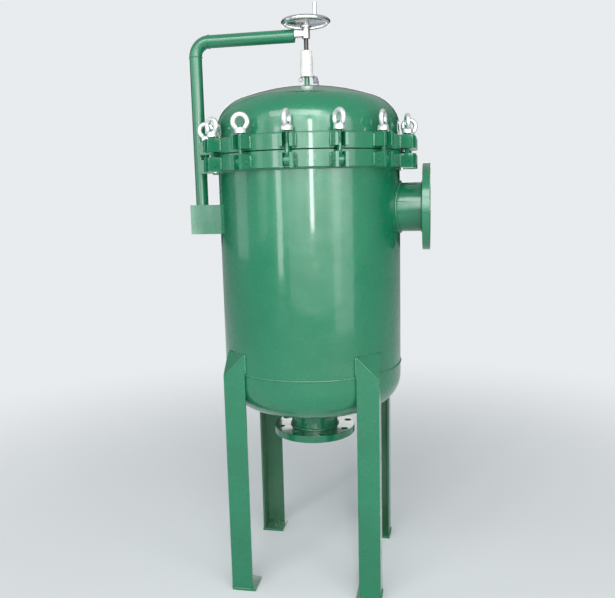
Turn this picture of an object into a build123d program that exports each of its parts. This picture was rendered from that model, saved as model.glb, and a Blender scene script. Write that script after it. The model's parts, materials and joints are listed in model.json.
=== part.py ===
"""A bag filter housing: an upright vessel on four angle legs, with a dished lid held by fourteen swing bolts.

The lid is raised by a handwheel and screw at the end of a swing davit. Inside, a plate carries five strainer
baskets, each with a filter bag. Millimetres, +Z up, origin on the floor under the vessel's axis, +X towards
the side nozzle.
"""

import os
from math import asin, ceil, degrees, sqrt

from build123d import *

# Vessel
SHELL_OD = 600.0
WALL = 6.0
SHELL_LENGTH = 643.0
SEAM_HEIGHT = 739.0  # floor to the weld between the bottom head and the shell
HEAD_SKIRT = 42.0  # straight length of the bottom head below that weld
HEAD_CROWN = 1.1  # crown radius of a dished head over its diameter
HEAD_KNUCKLE = 0.17  # knuckle radius over the diameter

# Legs: equal angle, heel outward, top mitred at 45 degrees and closed by a sloped cap
LEG_SIDE = 70.0
LEG_WALL = 7.0
LEG_TOE_GAP = 5.0  # how far the toe's outer edge stands off the shell, before the notch
LEG_HEEL_DROP = 3.0  # how far the top of the heel lies below the seam
CAP_THICK = 6.0
FOOT_SIDE = 80.0
FOOT_THICK = 8.0
FOOT_HOLE_D = 18.0

# Closure rings
RING_WIDTH = 18.0  # radial step from the shell to the rim of both rings
BODY_RING_HEIGHT = 50.0
LID_RING_HEIGHT = 45.0
RING_GAP = 2.0
SEAL_WIDTH = 8.4
SEAL_DEPTH = 7.5
SEAL_SIDE_GAP = 0.3
DOME_SKIRT = 33.0

# Swing bolts, their lugs, pins and eye nuts
BOLT_COUNT = 14
BOLT_D = 16.0
BOLT_STANDOFF = 18.0  # rim of the rings to the bolt's centre line
LUG_REACH = 42.0
LUG_THICK = 10.0
LUG_SLOT = 20.0
BODY_LUG_HEIGHT = 44.0
BODY_LUG_DROP = 3.0  # how far the lower lugs hang below the body ring
LID_LUG_HEIGHT = 42.0
LID_LUG_PROUD = 2.0  # how far the upper lugs stand above the lid ring
LUG_CHAMFER = 6.5
PIN_D = 14.0
PIN_END = 2.0
EYE_OD = 30.0
EYE_SIDE_GAP = 1.0
RUNNING_GAP = 0.1  # radial clearance of every pin, shaft and thread
NUT_LIFT = 2.6  # the nuts are finger-loose, this far above the lugs
NUT_COLLAR_D = 34.0
NUT_COLLAR_HEIGHT = 12.0
NUT_NECK_D = 27.0
NUT_NECK_HEIGHT = 6.0
NUT_RING_D = 42.0  # centre line of the ring
NUT_RING_BAR_D = 15.0
NUT_RING_HEIGHT = 34.4  # from the nut's seat to the middle of its ring
BOLT_END = 25.0  # how far the bolt's end stands above the nut's seat
# How each nut's ring stands when its thread is home, in degrees from facing outward
NUT_TURNS = (-86, 40, 15, 110, 65, -30, 75, 87, 21, 36, 83, -71, 29, 23)

# Nozzles: DN150 pipe with a PN10 plate flange
PIPE_OD = 159.0
PIPE_WALL = 4.5
FLANGE_OD = 280.0
FLANGE_THICK = 24.0
FLANGE_PCD = 240.0
FLANGE_HOLES = 8
FLANGE_HOLE_D = 23.0
SIDE_AXIS_DROP = 126.0  # top of the shell down to the side nozzle's axis
SIDE_REACH = 98.0  # shell to the face of the side flange
BOTTOM_FACE_HEIGHT = 484.0

# Davit
DAVIT_PIPE_OD = 42.4
DAVIT_PIPE_WALL = 3.2
DAVIT_STANDOFF = 77.0  # shell to the post's centre line
DAVIT_BEND_R = 48.0
BRACKET_DROP = 105.0  # top of the shell down to the top of the bracket
BRACKET_HEIGHT = 100.0
BRACKET_WALL = 6.0
BRACKET_SIDE_GAP = 2.8  # either side of the post inside the bracket
BRACKET_MARGIN = 13.0  # outside of the post to the end of the box
ARM_END_GAP = 39.0  # end of the arm to the screw's axis
ARM_CAP_THICK = 4.0
TAB_WIDTH = 30.0
TAB_THICK = 16.0
TAB_RISE = 4.0  # middle of the tab above the arm's centre line
BOSS_D = 26.0
BOSS_DROP = 11.0  # arm's centre line down to the bottom of the boss
BOSS_LENGTH = 34.0

# Handwheel, screw and the coupling to the lid
SCREW_D = 16.0
SCREW_END = 16.0  # how far the screw stands above the boss
SCREW_BARE = 35.0  # length of screw that shows between the sleeve and the boss
WHEEL_D = 160.0
WHEEL_RIM_D = 17.0
WHEEL_RIM_RISE = 17.0  # top of the boss to the middle of the rim
WHEEL_DISC = 5.0
HUB_D = 36.0
HUB_HEIGHT = 22.0
GRIP_ANGLE = 75.0  # direction of the grip from the side nozzle's axis
GRIP_D = 12.0
GRIP_LENGTH = 70.0
GRIP_END = 8.0  # how far the spindle stops short of the grip's top
GRIP_SEAT_GAP = 0.3
SPINDLE_D = 6.0
STUD_D = 17.0
STUD_PAD_D = 34.0
STUD_PAD_HEIGHT = 7.0
BUTTON_D = 26.0
BUTTON_HEIGHT = 6.0
FOOT_BLOCK_D = 36.0
FOOT_BLOCK_HEIGHT = 30.0
FOOT_BLOCK_LIP = 12.0  # thickness of the lips that lift the button
COUPLING_GAP = 1.5
LIFT_GAP = 0.3  # play between the lips and the button
SLEEVE_COVER = 2.0  # how far the sleeve hangs below the foot block
SLEEVE_CLEAR = 31.0  # crown of the lid to the bottom of the sleeve
SLEEVE_LENGTH = 85.0
SLEEVE_BOTTOM_D = 52.0
SLEEVE_TOP_D = 38.0
SLEEVE_WALL = 3.0
SLEEVE_SLOT_WIDTH = 32.0

# Filter set
PLATE_DROP = 234.0  # top of the shell down to the underside of the basket plate
PLATE_THICK = 12.0
PLATE_EDGE_GAP = 2.0
LEDGE_WIDTH = 18.0
LEDGE_THICK = 10.0
BASKET_COUNT = 5
BASKET_PCD = 345.0
BASKET_OD = 165.0
BASKET_WALL = 2.0
BASKET_RIM_WIDTH = 12.5
BASKET_RIM_THICK = 3.0
BASKET_DEPTH = 440.0
BASKET_HOLE_GAP = 1.5
BAG_SIDE_GAP = 2.5  # between a bag and its basket
BAG_WALL = 3.0
BAG_DEPTH = 425.0
BAG_RING_WIDTH = 10.0
BAG_RING_HEIGHT = 8.0

# Worked out from the sizes above
SHELL_R = SHELL_OD / 2
BORE_R = SHELL_R - WALL
SHELL_TOP = SEAM_HEIGHT + SHELL_LENGTH
RING_R = SHELL_R + RING_WIDTH
BODY_RING_TOP = SHELL_TOP + BODY_RING_HEIGHT
LID_RING_BOTTOM = BODY_RING_TOP + RING_GAP
LID_RING_TOP = LID_RING_BOTTOM + LID_RING_HEIGHT
SEAL_R = (BORE_R + RING_R) / 2
BOLT_R = RING_R + BOLT_STANDOFF
LUG_R = RING_R + LUG_REACH
BODY_LUG_BOTTOM = SHELL_TOP - BODY_LUG_DROP
PIN_HEIGHT = BODY_LUG_BOTTOM + BODY_LUG_HEIGHT / 2
LID_LUG_TOP = LID_RING_TOP + LID_LUG_PROUD
NUT_SEAT = LID_LUG_TOP + NUT_LIFT
BOLT_PITCH = 360.0 / BOLT_COUNT
SIDE_AXIS_HEIGHT = SHELL_TOP - SIDE_AXIS_DROP
SIDE_FACE_X = SHELL_R + SIDE_REACH
PLATE_HEIGHT = SHELL_TOP - PLATE_DROP
BASKET_RIM_D = BASKET_OD + 2 * BASKET_RIM_WIDTH
BAG_OD = BASKET_OD - 2 * (BASKET_WALL + BAG_SIDE_GAP)
BAG_RING_D = BAG_OD + 2 * BAG_RING_WIDTH
DAVIT_RADIUS = SHELL_R + DAVIT_STANDOFF
BRACKET_TOP = SHELL_TOP - BRACKET_DROP
BRACKET_WIDTH = DAVIT_PIPE_OD + 2 * (BRACKET_WALL + BRACKET_SIDE_GAP)


def ring(outer_r, inner_r, low, high):
    """A plain ring about the vessel's axis."""
    tube = Cylinder(outer_r, high - low) - Cylinder(inner_r, high - low)
    return Pos(0, 0, (low + high) / 2) * tube


def rod(radius, low, high):
    """A plain round bar about the vessel's axis."""
    return Pos(0, 0, (low + high) / 2) * Cylinder(radius, high - low)


def head_rise(radius):
    """How far a dished head rises above its straight skirt."""
    crown_r = 2 * HEAD_CROWN * radius
    knuckle_r = 2 * HEAD_KNUCKLE * radius
    return crown_r - sqrt((crown_r - knuckle_r) ** 2 - (radius - knuckle_r) ** 2)


def head_edge(radius, skirt, inset=0.0):
    """Half the outline of a dished head on z = 0, set in by a wall: its skirt, its knuckle and its crown."""
    crown_r = 2 * HEAD_CROWN * radius
    knuckle_r = 2 * HEAD_KNUCKLE * radius
    meeting = degrees(asin((radius - knuckle_r) / (crown_r - knuckle_r)))
    knuckle = CenterArc((radius - knuckle_r, skirt), knuckle_r - inset, 0, 90 - meeting)
    crown = CenterArc((0, skirt + head_rise(radius) - crown_r), crown_r - inset, 90 - meeting, meeting)
    return Line((radius - inset, 0), (radius - inset, skirt)) + knuckle + crown


def dished(radius, wall, skirt):
    """A dished head of even wall, open below, standing on z = 0."""
    top = skirt + head_rise(radius)
    outline = head_edge(radius, skirt) + head_edge(radius, skirt, wall)
    outline += Line((radius, 0), (radius - wall, 0)) + Line((0, top), (0, top - wall))
    return revolve(Plane.XZ * make_face(outline), Axis.Z)


def solid_head(radius, skirt):
    """The same head, solid."""
    axis_line = Line((0, skirt + head_rise(radius)), (0, 0))
    outline = head_edge(radius, skirt) + axis_line + Line((0, 0), (radius, 0))
    return revolve(Plane.XZ * make_face(outline), Axis.Z)


def turned(*points):
    """A turned piece: the (radius, height) outline swept about the vessel's axis."""
    return revolve(Plane.XZ * make_face(Polyline(*points, close=True)), Axis.Z)


def plate_flange():
    """A plate flange whose back face is at z = 0 and whose front face is up."""
    plate = ring(FLANGE_OD / 2, PIPE_OD / 2 - PIPE_WALL, 0, FLANGE_THICK)
    holes = PolarLocations(FLANGE_PCD / 2, FLANGE_HOLES, start_angle=180 / FLANGE_HOLES)
    for place in holes:
        plate -= place * rod(FLANGE_HOLE_D / 2, 0, FLANGE_THICK)
    return plate


def around(piece, count, start=0.0):
    """Copies of a piece, evenly spaced about the vessel's axis."""
    return [Rot(0, 0, start + i * 360.0 / count) * piece for i in range(count)]


def save(name, *pieces):
    """Writes one sub-part, which may be a group of like pieces."""
    solids = [solid for piece in pieces for solid in piece.solids()]
    shape = solids[0] if len(solids) == 1 else Compound(children=solids)
    export_step(shape, f"parts/{name}.step")


# Heights above the lid, which all follow its crown, taken up to the next whole millimetre
crown_level = LID_RING_TOP + ceil(DOME_SKIRT + head_rise(SHELL_R))
SLEEVE_BOTTOM = crown_level + SLEEVE_CLEAR
SLEEVE_TOP = SLEEVE_BOTTOM + SLEEVE_LENGTH
BOSS_BOTTOM = SLEEVE_TOP + SCREW_BARE
BOSS_TOP = BOSS_BOTTOM + BOSS_LENGTH
DAVIT_ARM_HEIGHT = BOSS_BOTTOM + BOSS_DROP
SCREW_TOP = BOSS_TOP + SCREW_END
WHEEL_RIM_HEIGHT = BOSS_TOP + WHEEL_RIM_RISE

os.makedirs("parts", exist_ok=True)

# Shell, with the ledge that the basket plate rests on, and the bottom head
side_axis = Pos(0, 0, SIDE_AXIS_HEIGHT) * Rot(0, 90, 0)
pipe_bore_r = PIPE_OD / 2 - PIPE_WALL
shell = ring(SHELL_R, BORE_R, SEAM_HEIGHT, SHELL_TOP)
shell -= side_axis * rod(pipe_bore_r, 0, SHELL_OD)
ledge_top = PLATE_HEIGHT
shell += ring(BORE_R, BORE_R - LEDGE_WIDTH, ledge_top - LEDGE_THICK, ledge_top)
save("shell", shell)

head_outside = Pos(0, 0, SEAM_HEIGHT) * Rot(180, 0, 0) * solid_head(SHELL_R, HEAD_SKIRT)
bottom_head = Pos(0, 0, SEAM_HEIGHT) * Rot(180, 0, 0) * dished(SHELL_R, WALL, HEAD_SKIRT)
bottom_head -= rod(pipe_bore_r, 0, SEAM_HEIGHT)
save("bottom_head", bottom_head)

# Nozzles: each pipe is cut to the curve that it is welded on
side_pipe = side_axis * ring(PIPE_OD / 2, pipe_bore_r, 0, SIDE_FACE_X - FLANGE_THICK)
side_pipe -= rod(SHELL_R, SEAM_HEIGHT, SHELL_TOP)
save("side_nozzle", side_pipe)
save("side_flange", Pos(SIDE_FACE_X - FLANGE_THICK, 0, 0) * side_axis * plate_flange())
bottom_pipe = ring(PIPE_OD / 2, pipe_bore_r, BOTTOM_FACE_HEIGHT + FLANGE_THICK, SEAM_HEIGHT)
bottom_pipe -= head_outside
save("bottom_nozzle", bottom_pipe)
bottom_flange = Rot(180, 0, 0) * plate_flange()
save("bottom_flange", Pos(0, 0, BOTTOM_FACE_HEIGHT + FLANGE_THICK) * bottom_flange)

# Legs: the toes of each angle just meet the shell, and are notched to its curve
toe_circle = SHELL_R + LEG_TOE_GAP
heel = (LEG_SIDE + sqrt(2 * toe_circle**2 - LEG_SIDE**2)) / 2
heel_top = SEAM_HEIGHT - LEG_HEEL_DROP
leg_height = heel_top + LEG_SIDE - FOOT_THICK
square = Box(LEG_SIDE, LEG_SIDE, leg_height)
hollow = Pos(-LEG_WALL, -LEG_WALL, 0) * square
leg_place = Pos(heel - LEG_SIDE / 2, heel - LEG_SIDE / 2, FOOT_THICK + leg_height / 2)
mitre = Plane(origin=(heel, heel, heel_top), z_dir=(1, 1, 1))
below = mitre * Pos(0, 0, -SEAM_HEIGHT) * Box(4 * SEAM_HEIGHT, 4 * SEAM_HEIGHT, 2 * SEAM_HEIGHT)
cap_slab = mitre * Pos(0, 0, -CAP_THICK / 2) * Box(4 * LEG_SIDE, 4 * LEG_SIDE, CAP_THICK)
leg = (leg_place * (square - hollow)) & below
leg += (leg_place * square) & cap_slab
leg -= rod(SHELL_R, 0, SHELL_TOP)
for turn, name in ((0, "rear_right"), (90, "rear_left"), (180, "front_left"), (270, "front_right")):
    save(f"leg_{name}", Rot(0, 0, turn) * leg)

foot_centre = heel - FOOT_SIDE / 2
foot = Pos(foot_centre, foot_centre, FOOT_THICK / 2) * Box(FOOT_SIDE, FOOT_SIDE, FOOT_THICK)
foot -= Pos(foot_centre, foot_centre, 0) * rod(FOOT_HOLE_D / 2, 0, FOOT_THICK)
save("foot_plates", *around(foot, 4))

# Closure rings, the seal between them and the lid
seal_groove = ring(
    SEAL_R + SEAL_WIDTH / 2 + SEAL_SIDE_GAP,
    SEAL_R - SEAL_WIDTH / 2 - SEAL_SIDE_GAP,
    BODY_RING_TOP - SEAL_DEPTH,
    BODY_RING_TOP,
)
save("body_ring", ring(RING_R, BORE_R, SHELL_TOP, BODY_RING_TOP) - seal_groove)
seal_height = SEAL_DEPTH + RING_GAP - SEAL_SIDE_GAP
seal_middle = BODY_RING_TOP - SEAL_DEPTH + seal_height / 2
seal_section = Plane.XZ * Pos(SEAL_R, seal_middle) * Ellipse(SEAL_WIDTH / 2, seal_height / 2)
save("ring_seal", revolve(seal_section, Axis.Z))
save("lid_ring", ring(RING_R, BORE_R, LID_RING_BOTTOM, LID_RING_TOP))
save("lid_dome", Pos(0, 0, LID_RING_TOP) * dished(SHELL_R, WALL, DOME_SKIRT))


# Lugs: each swing bolt stands between two plates on either ring
pin_place = Pos(BOLT_R, 0, PIN_HEIGHT) * Rot(90, 0, 0)


def lug_pair(low, high, chamfered, pin_hole):
    """Two upright plates on the rim of a ring, either side of the radial plane y = 0."""
    top_edge = [(LUG_R, high - LUG_CHAMFER), (LUG_R - LUG_CHAMFER, high)] if chamfered else [(LUG_R, high)]
    outline = Polyline((BORE_R, low), (LUG_R, low), *top_edge, (BORE_R, high), close=True)
    plate = extrude(Plane.XZ * make_face(outline), LUG_THICK / 2, both=True)
    if pin_hole:
        plate -= pin_place * Cylinder(PIN_D / 2 + RUNNING_GAP, LUG_THICK)
    plate -= rod(RING_R, low, high)
    offset = (LUG_SLOT + LUG_THICK) / 2
    return Pos(0, -offset, 0) * plate + Pos(0, offset, 0) * plate


body_pair = lug_pair(BODY_LUG_BOTTOM, BODY_LUG_BOTTOM + BODY_LUG_HEIGHT, False, True)
save("body_lugs", *around(body_pair, BOLT_COUNT, BOLT_PITCH / 2))
lid_pair = lug_pair(LID_LUG_TOP - LID_LUG_HEIGHT, LID_LUG_TOP, True, False)
save("lid_lugs", *around(lid_pair, BOLT_COUNT, BOLT_PITCH / 2))

# Hinge pins, swing bolts and eye nuts, modelled on the radial plane and turned into place
pin_length = LUG_SLOT + 2 * (LUG_THICK + PIN_END)
save("hinge_pins", *around(pin_place * Cylinder(PIN_D / 2, pin_length), BOLT_COUNT, BOLT_PITCH / 2))

bolt = Pos(BOLT_R, 0, 0) * rod(BOLT_D / 2, PIN_HEIGHT, NUT_SEAT + BOLT_END)
bolt += pin_place * Cylinder(EYE_OD / 2, LUG_SLOT - 2 * EYE_SIDE_GAP)
bolt -= pin_place * Cylinder(PIN_D / 2 + RUNNING_GAP, LUG_SLOT)

neck_top = NUT_COLLAR_HEIGHT + NUT_NECK_HEIGHT
nut = turned(
    (0, 0),
    (NUT_COLLAR_D / 2, 0),
    (NUT_COLLAR_D / 2, NUT_COLLAR_HEIGHT),
    (NUT_NECK_D / 2, neck_top),
    (0, neck_top),
)
nut += Pos(0, 0, NUT_RING_HEIGHT) * Rot(0, 90, 0) * Torus(NUT_RING_D / 2, NUT_RING_BAR_D / 2)
nut -= rod(BOLT_D / 2 + RUNNING_GAP, 0, NUT_RING_HEIGHT)

for i in range(BOLT_COUNT):
    place = Rot(0, 0, (i + 0.5) * BOLT_PITCH)
    save(f"swing_bolt_{i + 1:02d}", place * bolt)
    nut_turn = NUT_TURNS[i % len(NUT_TURNS)]
    save(f"eye_nut_{i + 1:02d}", place * Pos(BOLT_R, 0, NUT_SEAT) * Rot(0, 0, nut_turn) * nut)

# Davit: a post that turns in a box bracket, a bend, an arm and the eye that the screw passes through
post = Pos(-DAVIT_RADIUS, 0, 0)
pipe_r = DAVIT_PIPE_OD / 2
bracket_bottom = BRACKET_TOP - BRACKET_HEIGHT
bracket_end = DAVIT_RADIUS + pipe_r + BRACKET_MARGIN
bracket_middle = Pos(-bracket_end / 2, 0, (BRACKET_TOP + bracket_bottom) / 2)
bracket_room = Box(
    bracket_end - 2 * BRACKET_WALL, BRACKET_WIDTH - 2 * BRACKET_WALL, BRACKET_HEIGHT - 2 * BRACKET_WALL
)
bracket = bracket_middle * (Box(bracket_end, BRACKET_WIDTH, BRACKET_HEIGHT) - bracket_room)
bracket -= rod(SHELL_R, bracket_bottom, BRACKET_TOP)
bracket -= post * rod(pipe_r + RUNNING_GAP, BRACKET_TOP - BRACKET_WALL, BRACKET_TOP)
save("davit_bracket", bracket)

post_top = DAVIT_ARM_HEIGHT - DAVIT_BEND_R
pipe_bore = pipe_r - DAVIT_PIPE_WALL
save("davit_post", post * ring(pipe_r, pipe_bore, bracket_bottom + BRACKET_WALL, post_top))
bend_x = DAVIT_BEND_R - DAVIT_RADIUS
bend_face = post * Pos(0, 0, post_top) * (Circle(pipe_r) - Circle(pipe_bore))
save("davit_elbow", revolve(bend_face, Axis((bend_x, 0, post_top), (0, 1, 0)), 90))
arm_axis = Pos(0, 0, DAVIT_ARM_HEIGHT) * Rot(0, 90, 0)
arm = arm_axis * ring(pipe_r, pipe_bore, bend_x, -ARM_END_GAP - ARM_CAP_THICK)
arm += arm_axis * rod(pipe_r, -ARM_END_GAP - ARM_CAP_THICK, -ARM_END_GAP)
save("davit_arm", arm)
tab = Pos(-ARM_END_GAP / 2, 0, DAVIT_ARM_HEIGHT + TAB_RISE) * Box(ARM_END_GAP, TAB_WIDTH, TAB_THICK)
davit_eye = tab + rod(BOSS_D / 2, BOSS_BOTTOM, BOSS_TOP)
davit_eye -= rod(SCREW_D / 2 + RUNNING_GAP, BOSS_BOTTOM, BOSS_TOP)
save("davit_eye", davit_eye)

# Handwheel: a dished disc with a round rim, a hub threaded on the screw and a spindle for the grip
rim_r = (WHEEL_D - WHEEL_RIM_D) / 2
hub_top = BOSS_TOP + HUB_HEIGHT
disc_low = BOSS_TOP + WHEEL_DISC
disc_rise = WHEEL_RIM_HEIGHT - disc_low - WHEEL_DISC
disc_middle = (rim_r * 0.6, disc_low + disc_rise * 0.2)
underside = ThreePointArc((0, disc_low), disc_middle, (rim_r, disc_low + disc_rise))
upper_side = Pos(0, WHEEL_DISC) * underside
edges = underside + Line(underside @ 1, upper_side @ 1) + upper_side + Line(upper_side @ 0, underside @ 0)
wheel = revolve(Plane.XZ * make_face(edges), Axis.Z)
wheel += rod(HUB_D / 2, BOSS_TOP, hub_top)
wheel += Pos(0, 0, WHEEL_RIM_HEIGHT) * Torus(rim_r, WHEEL_RIM_D / 2)
wheel -= rod(SCREW_D / 2 + RUNNING_GAP, BOSS_TOP, hub_top)
grip_place = Rot(0, 0, GRIP_ANGLE) * Pos(rim_r, 0, 0)
grip_bottom = WHEEL_RIM_HEIGHT + WHEEL_RIM_D / 2 + GRIP_SEAT_GAP
spindle_top = grip_bottom + GRIP_LENGTH - GRIP_END
wheel += grip_place * rod(SPINDLE_D / 2, WHEEL_RIM_HEIGHT, spindle_top)
save("handwheel", wheel)
grip = fillet(rod(GRIP_D / 2, grip_bottom, grip_bottom + GRIP_LENGTH).edges(), GRIP_D / 8)
grip -= rod(SPINDLE_D / 2 + RUNNING_GAP, grip_bottom, spindle_top + GRIP_SEAT_GAP)
save("wheel_grip", grip_place * grip)

# Lid stud: a pad and a stud on the crown, with a button on top for the screw's foot to lift
block_bottom = SLEEVE_BOTTOM + SLEEVE_COVER
button_bottom = block_bottom + FOOT_BLOCK_LIP + LIFT_GAP
crown_top = LID_RING_TOP + DOME_SKIRT + head_rise(SHELL_R)
stud = rod(STUD_PAD_D / 2, crown_top, crown_top + STUD_PAD_HEIGHT)
stud += rod(STUD_D / 2, crown_top, button_bottom)
stud += rod(BUTTON_D / 2, button_bottom, button_bottom + BUTTON_HEIGHT)
save("lid_stud", stud)


# Screw: its foot block has a T-slot, closed towards the front, that slides over the button
def slot(width, low, high):
    """A slot along +Y with a round end about the vessel's axis."""
    run = Pos(0, FOOT_BLOCK_D / 2, (low + high) / 2) * Box(width, FOOT_BLOCK_D, high - low)
    return rod(width / 2, low, high) + run


room_top = button_bottom + BUTTON_HEIGHT + COUPLING_GAP
foot_block = rod(FOOT_BLOCK_D / 2, block_bottom, block_bottom + FOOT_BLOCK_HEIGHT)
foot_block -= slot(STUD_D + 2 * COUPLING_GAP, block_bottom, room_top)
foot_block -= slot(BUTTON_D + 2 * COUPLING_GAP, block_bottom + FOOT_BLOCK_LIP, room_top)
save("screw_foot", foot_block)
save("lift_screw", rod(SCREW_D / 2, block_bottom + FOOT_BLOCK_HEIGHT, SCREW_TOP))

sleeve = turned(
    (SLEEVE_BOTTOM_D / 2, SLEEVE_BOTTOM),
    (SLEEVE_TOP_D / 2, SLEEVE_TOP),
    (SCREW_D / 2 + RUNNING_GAP, SLEEVE_TOP),
    (SCREW_D / 2 + RUNNING_GAP, SLEEVE_TOP - SLEEVE_WALL),
    (SLEEVE_TOP_D / 2 - SLEEVE_WALL, SLEEVE_TOP - SLEEVE_WALL),
    (SLEEVE_BOTTOM_D / 2 - SLEEVE_WALL, SLEEVE_BOTTOM),
)
slot_height = room_top - SLEEVE_BOTTOM
sleeve_slot = Box(SLEEVE_SLOT_WIDTH, SLEEVE_BOTTOM_D, 2 * slot_height)
save("screw_sleeve", sleeve - Pos(0, SLEEVE_BOTTOM_D / 2, SLEEVE_BOTTOM) * sleeve_slot)

# Filter set: the basket plate, and in each of its holes a strainer basket with a bag inside
plate_top = PLATE_HEIGHT + PLATE_THICK
basket_plate = rod(BORE_R - PLATE_EDGE_GAP, PLATE_HEIGHT, plate_top)
basket_hole = rod(BASKET_OD / 2 + BASKET_HOLE_GAP, PLATE_HEIGHT, plate_top)
basket = rod(BASKET_OD / 2, plate_top - BASKET_DEPTH, plate_top)
basket += rod(BASKET_RIM_D / 2, plate_top, plate_top + BASKET_RIM_THICK)
basket_floor = plate_top - BASKET_DEPTH + BASKET_WALL
basket -= rod(BASKET_OD / 2 - BASKET_WALL, basket_floor, plate_top + BASKET_RIM_THICK)
bag_top = plate_top + BASKET_RIM_THICK
bag_skirt = BAG_DEPTH - head_rise(BAG_OD / 2)
bag = Pos(0, 0, bag_top) * Rot(180, 0, 0) * dished(BAG_OD / 2, BAG_WALL, bag_skirt)
bag += ring(BAG_RING_D / 2, BAG_OD / 2 - BAG_WALL, bag_top, bag_top + BAG_RING_HEIGHT)
baskets, bags = [], []
for place in PolarLocations(BASKET_PCD / 2, BASKET_COUNT, start_angle=90):
    basket_plate -= place * basket_hole
    baskets.append(place * basket)
    bags.append(place * bag)
save("basket_plate", basket_plate)
save("baskets", *baskets)
save("filter_bags", *bags)
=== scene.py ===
"""The looks of a bag filter housing: welded green vessel, bolted lid, davit with a handwheel screw."""

import json
import math

import bmesh
import bpy
from mathutils import Matrix, Vector, noise

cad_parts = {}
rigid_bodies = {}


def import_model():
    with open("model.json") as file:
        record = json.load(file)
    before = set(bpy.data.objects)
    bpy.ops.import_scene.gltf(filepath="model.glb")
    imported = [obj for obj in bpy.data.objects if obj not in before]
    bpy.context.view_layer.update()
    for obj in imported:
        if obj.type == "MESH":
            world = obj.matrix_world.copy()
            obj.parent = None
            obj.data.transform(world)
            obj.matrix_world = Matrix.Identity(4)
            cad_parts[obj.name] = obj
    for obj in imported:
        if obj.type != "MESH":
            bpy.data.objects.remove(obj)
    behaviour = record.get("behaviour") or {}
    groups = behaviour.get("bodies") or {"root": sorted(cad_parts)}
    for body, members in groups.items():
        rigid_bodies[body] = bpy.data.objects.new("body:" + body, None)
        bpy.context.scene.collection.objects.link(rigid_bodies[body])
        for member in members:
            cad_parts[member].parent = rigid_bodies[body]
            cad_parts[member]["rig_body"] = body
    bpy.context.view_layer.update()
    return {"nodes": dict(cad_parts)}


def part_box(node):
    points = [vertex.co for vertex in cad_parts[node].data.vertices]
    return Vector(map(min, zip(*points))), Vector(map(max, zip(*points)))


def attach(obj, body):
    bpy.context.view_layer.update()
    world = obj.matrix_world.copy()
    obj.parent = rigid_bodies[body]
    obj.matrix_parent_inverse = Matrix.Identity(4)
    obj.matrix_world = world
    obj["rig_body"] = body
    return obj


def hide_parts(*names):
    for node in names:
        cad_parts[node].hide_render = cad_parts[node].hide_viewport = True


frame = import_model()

# Studio floor: matt white paint, flat under the object, that fades into the backdrop with distance so
# that no horizon shows. The helpers that every section needs stand here, where they are first used.
scene = bpy.context.scene
scene.view_settings.view_transform = "Standard"


def colour(code):
    """The linear RGBA of an sRGB hex colour."""
    shares = [int(code[i : i + 2], 16) / 255 for i in (1, 3, 5)]
    return [c / 12.92 if c <= 0.04045 else ((c + 0.055) / 1.055) ** 2.4 for c in shares] + [1.0]


def add(tree, kind, inputs=None, **settings):
    """Adds a node: settings are its properties; inputs holds a value or a feeding socket for each input."""
    made = tree.nodes.new(kind)
    for key, value in settings.items():
        setattr(made, key, value)
    for key, value in (inputs or {}).items():
        if isinstance(value, bpy.types.NodeSocket):
            tree.links.new(value, made.inputs[key])
        else:
            made.inputs[key].default_value = value
    return made


def new_material(name):
    """An empty material, its node tree and its output."""
    material = bpy.data.materials.new(name)
    material.use_nodes = True
    material.node_tree.nodes.clear()
    return material, material.node_tree, add(material.node_tree, "ShaderNodeOutputMaterial")


def object_from(mesh_in_making, name, material, sharp=35):
    """Turns a bmesh into an object with one material, smooth but for its sharp edges."""
    mesh = bpy.data.meshes.new(name)
    mesh_in_making.to_mesh(mesh)
    mesh_in_making.free()
    mesh.materials.append(material)
    mesh.shade_smooth()
    mesh.set_sharp_from_angle(angle=math.radians(sharp))
    made = bpy.data.objects.new(name, mesh)
    scene.collection.objects.link(made)
    return made


BACKDROP = colour("#eef1f3")
BACKDROP_LIGHT = 0.95
FLOOR_HALF_SIZE = 14.0
FADE_START = 0.7
FADE_END = 3.2
floor_material, tree, output = new_material("painted_studio_floor")
floor_place = add(tree, "ShaderNodeTexCoord").outputs["Object"]
distance = add(tree, "ShaderNodeVectorMath", {0: floor_place}, operation="LENGTH").outputs["Value"]
far_share = add(
    tree,
    "ShaderNodeMapRange",
    {"Value": distance, "From Min": FADE_START, "From Max": FADE_END},
    interpolation_type="SMOOTHSTEP",
)
rays = add(tree, "ShaderNodeLightPath")
seen_far = add(
    tree,
    "ShaderNodeMath",
    {0: far_share.outputs[0], 1: rays.outputs["Is Camera Ray"]},
    operation="MULTIPLY",
)
floor_shader = add(tree, "ShaderNodeBsdfDiffuse", {"Color": colour("#e9ecee"), "Roughness": 0.5})
far_floor = add(tree, "ShaderNodeEmission", {"Color": BACKDROP, "Strength": BACKDROP_LIGHT})
faded = add(
    tree,
    "ShaderNodeMixShader",
    {0: seen_far.outputs[0], 1: floor_shader.outputs[0], 2: far_floor.outputs[0]},
)
tree.links.new(faded.outputs[0], output.inputs[0])
floor_mesh = bmesh.new()
bmesh.ops.create_grid(floor_mesh, x_segments=2, y_segments=2, size=FLOOR_HALF_SIZE)
floor = object_from(floor_mesh, "studio_floor", floor_material)

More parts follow.
